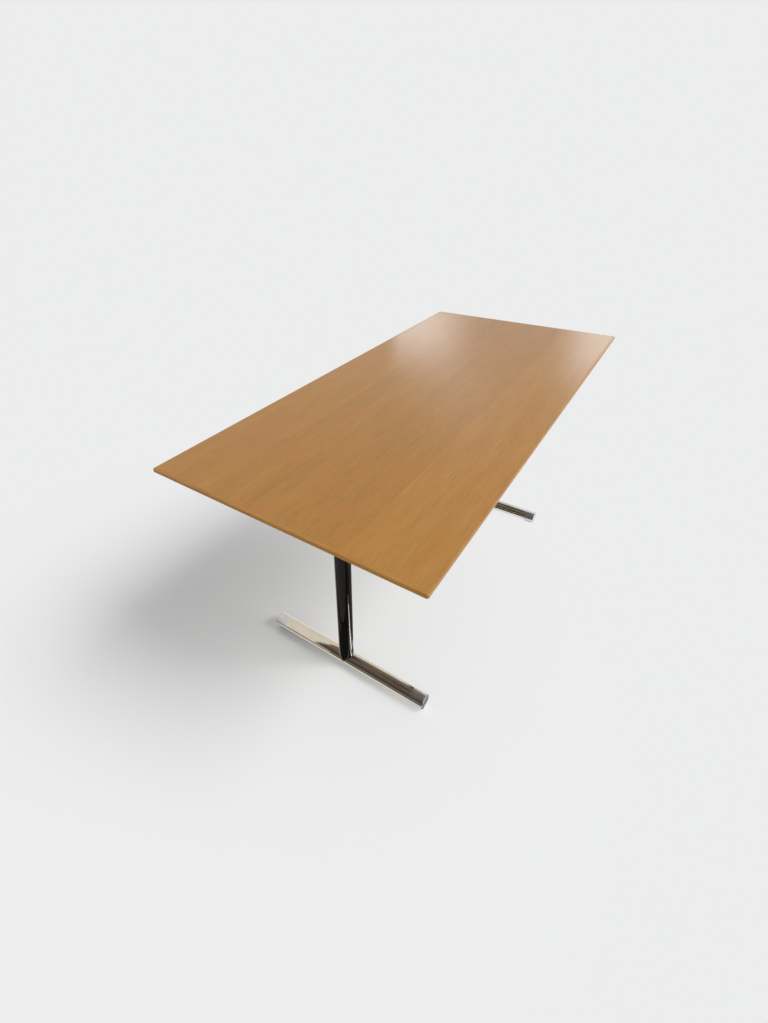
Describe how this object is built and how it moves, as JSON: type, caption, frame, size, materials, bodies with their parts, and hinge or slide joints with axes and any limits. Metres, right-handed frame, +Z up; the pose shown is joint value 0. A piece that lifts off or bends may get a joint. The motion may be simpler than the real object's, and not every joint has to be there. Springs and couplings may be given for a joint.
{
  "type": "folding desk",
  "caption": "Desk with a bevelled oak-veneered top on T-shaped tube legs that fold inwards under the top, each locked open or folded by a leaf-spring catch with a release lever.",
  "frame": {"origin": "on the floor, under the middle of the top", "axes": "+X along the desk towards the far leg, +Y across the desk to the rear, +Z up"},
  "size_m": [1.5, 0.7, 0.74],
  "materials": {
    "oak_veneer": "straight-grained oak veneer, satin lacquer",
    "wood_lipping": "solid oak, rounded and lacquered",
    "board_core": "dense fibreboard, lacquered on the bevel",
    "backing_veneer": "dark brown backing veneer",
    "gloss_black_tube": "gloss black enamel on steel tube",
    "gloss_black_casting": "black enamel on a steel casting",
    "chrome_tube": "polished chrome plate on steel tube",
    "chrome_cap": "polished chrome plate on a casting",
    "black_steel": "satin black powder coat on sheet steel",
    "cast_aluminium": "tumbled casting",
    "zinc_steel": "bright zinc plate",
    "spring_steel": "blued spring steel",
    "black_nylon": "moulded nylon",
    "black_rubber": "moulded rubber"
  },
  "bodies": {
    "desk_top": {"bearing_screws": "zinc_steel", "far_bearing_blocks": "cast_aluminium", "far_bearing_bushes": "black_nylon", "far_hinge_plate": "black_steel", "far_latch_leaf": "spring_steel", "far_lever_pivot_rod": "zinc_steel", "far_riser_channel": "black_steel", "latch_screws": "zinc_steel", "leg_rest_buffers": "black_rubber", "lipping_far_end": "wood_lipping", "lipping_front": "wood_lipping", "lipping_near_end": "wood_lipping", "lipping_rear": "wood_lipping", "near_bearing_blocks": "cast_aluminium", "near_bearing_bushes": "black_nylon", "near_hinge_plate": "black_steel", "near_latch_leaf": "spring_steel", "near_lever_pivot_rod": "zinc_steel", "pivot_rod_caps": "black_nylon", "plate_screws": "zinc_steel", "riser_bolts": "zinc_steel", "riser_nuts": "zinc_steel", "riser_screws": "zinc_steel", "top_core": "board_core", "top_veneer": "oak_veneer", "underside_veneer": "backing_veneer"},
    "near_leg": {"near_column": "gloss_black_tube", "near_column_insert": "zinc_steel", "near_cross_tube": "gloss_black_tube", "near_cross_tube_plugs": "black_nylon", "near_foot_bolt": "zinc_steel", "near_foot_tube": "chrome_tube", "near_foot_washer": "zinc_steel", "near_front_end_cap": "chrome_cap", "near_front_glide": "black_nylon", "near_leg_head": "gloss_black_casting", "near_lock_discs": "zinc_steel", "near_rear_end_cap": "chrome_cap", "near_rear_glide": "black_nylon"},
    "far_leg": {"far_column": "gloss_black_tube", "far_column_insert": "zinc_steel", "far_cross_tube": "gloss_black_tube", "far_cross_tube_plugs": "black_nylon", "far_foot_bolt": "zinc_steel", "far_foot_tube": "chrome_tube", "far_foot_washer": "zinc_steel", "far_front_end_cap": "chrome_cap", "far_front_glide": "black_nylon", "far_leg_head": "gloss_black_casting", "far_lock_discs": "zinc_steel", "far_rear_end_cap": "chrome_cap", "far_rear_glide": "black_nylon"},
    "near_release": {"near_lever_grip": "black_nylon", "near_release_lever": "black_steel"},
    "far_release": {"far_lever_grip": "black_nylon", "far_release_lever": "black_steel"}
  },
  "joints": [
    {"name": "near_leg_fold", "type": "hinge", "parent": "desk_top", "child": "near_leg", "pos_m": [-0.505, 0, 0.675], "axis": [0, -1, 0], "range_deg": [0, 90], "deforming": ["near_latch_leaf"]},
    {"name": "far_leg_fold", "type": "hinge", "parent": "desk_top", "child": "far_leg", "pos_m": [0.505, 0, 0.623], "axis": [0, 1, 0], "range_deg": [0, 90], "deforming": ["far_latch_leaf"]},
    {"name": "near_release_squeeze", "type": "hinge", "parent": "desk_top", "child": "near_release", "pos_m": [-0.563, 0, 0.677], "axis": [0, 1, 0], "range_deg": [0, 8], "deforming": ["near_latch_leaf"]},
    {"name": "far_release_squeeze", "type": "hinge", "parent": "desk_top", "child": "far_release", "pos_m": [0.563, 0, 0.625], "axis": [0, -1, 0], "range_deg": [0, 8], "deforming": ["far_latch_leaf"]}
  ]
}
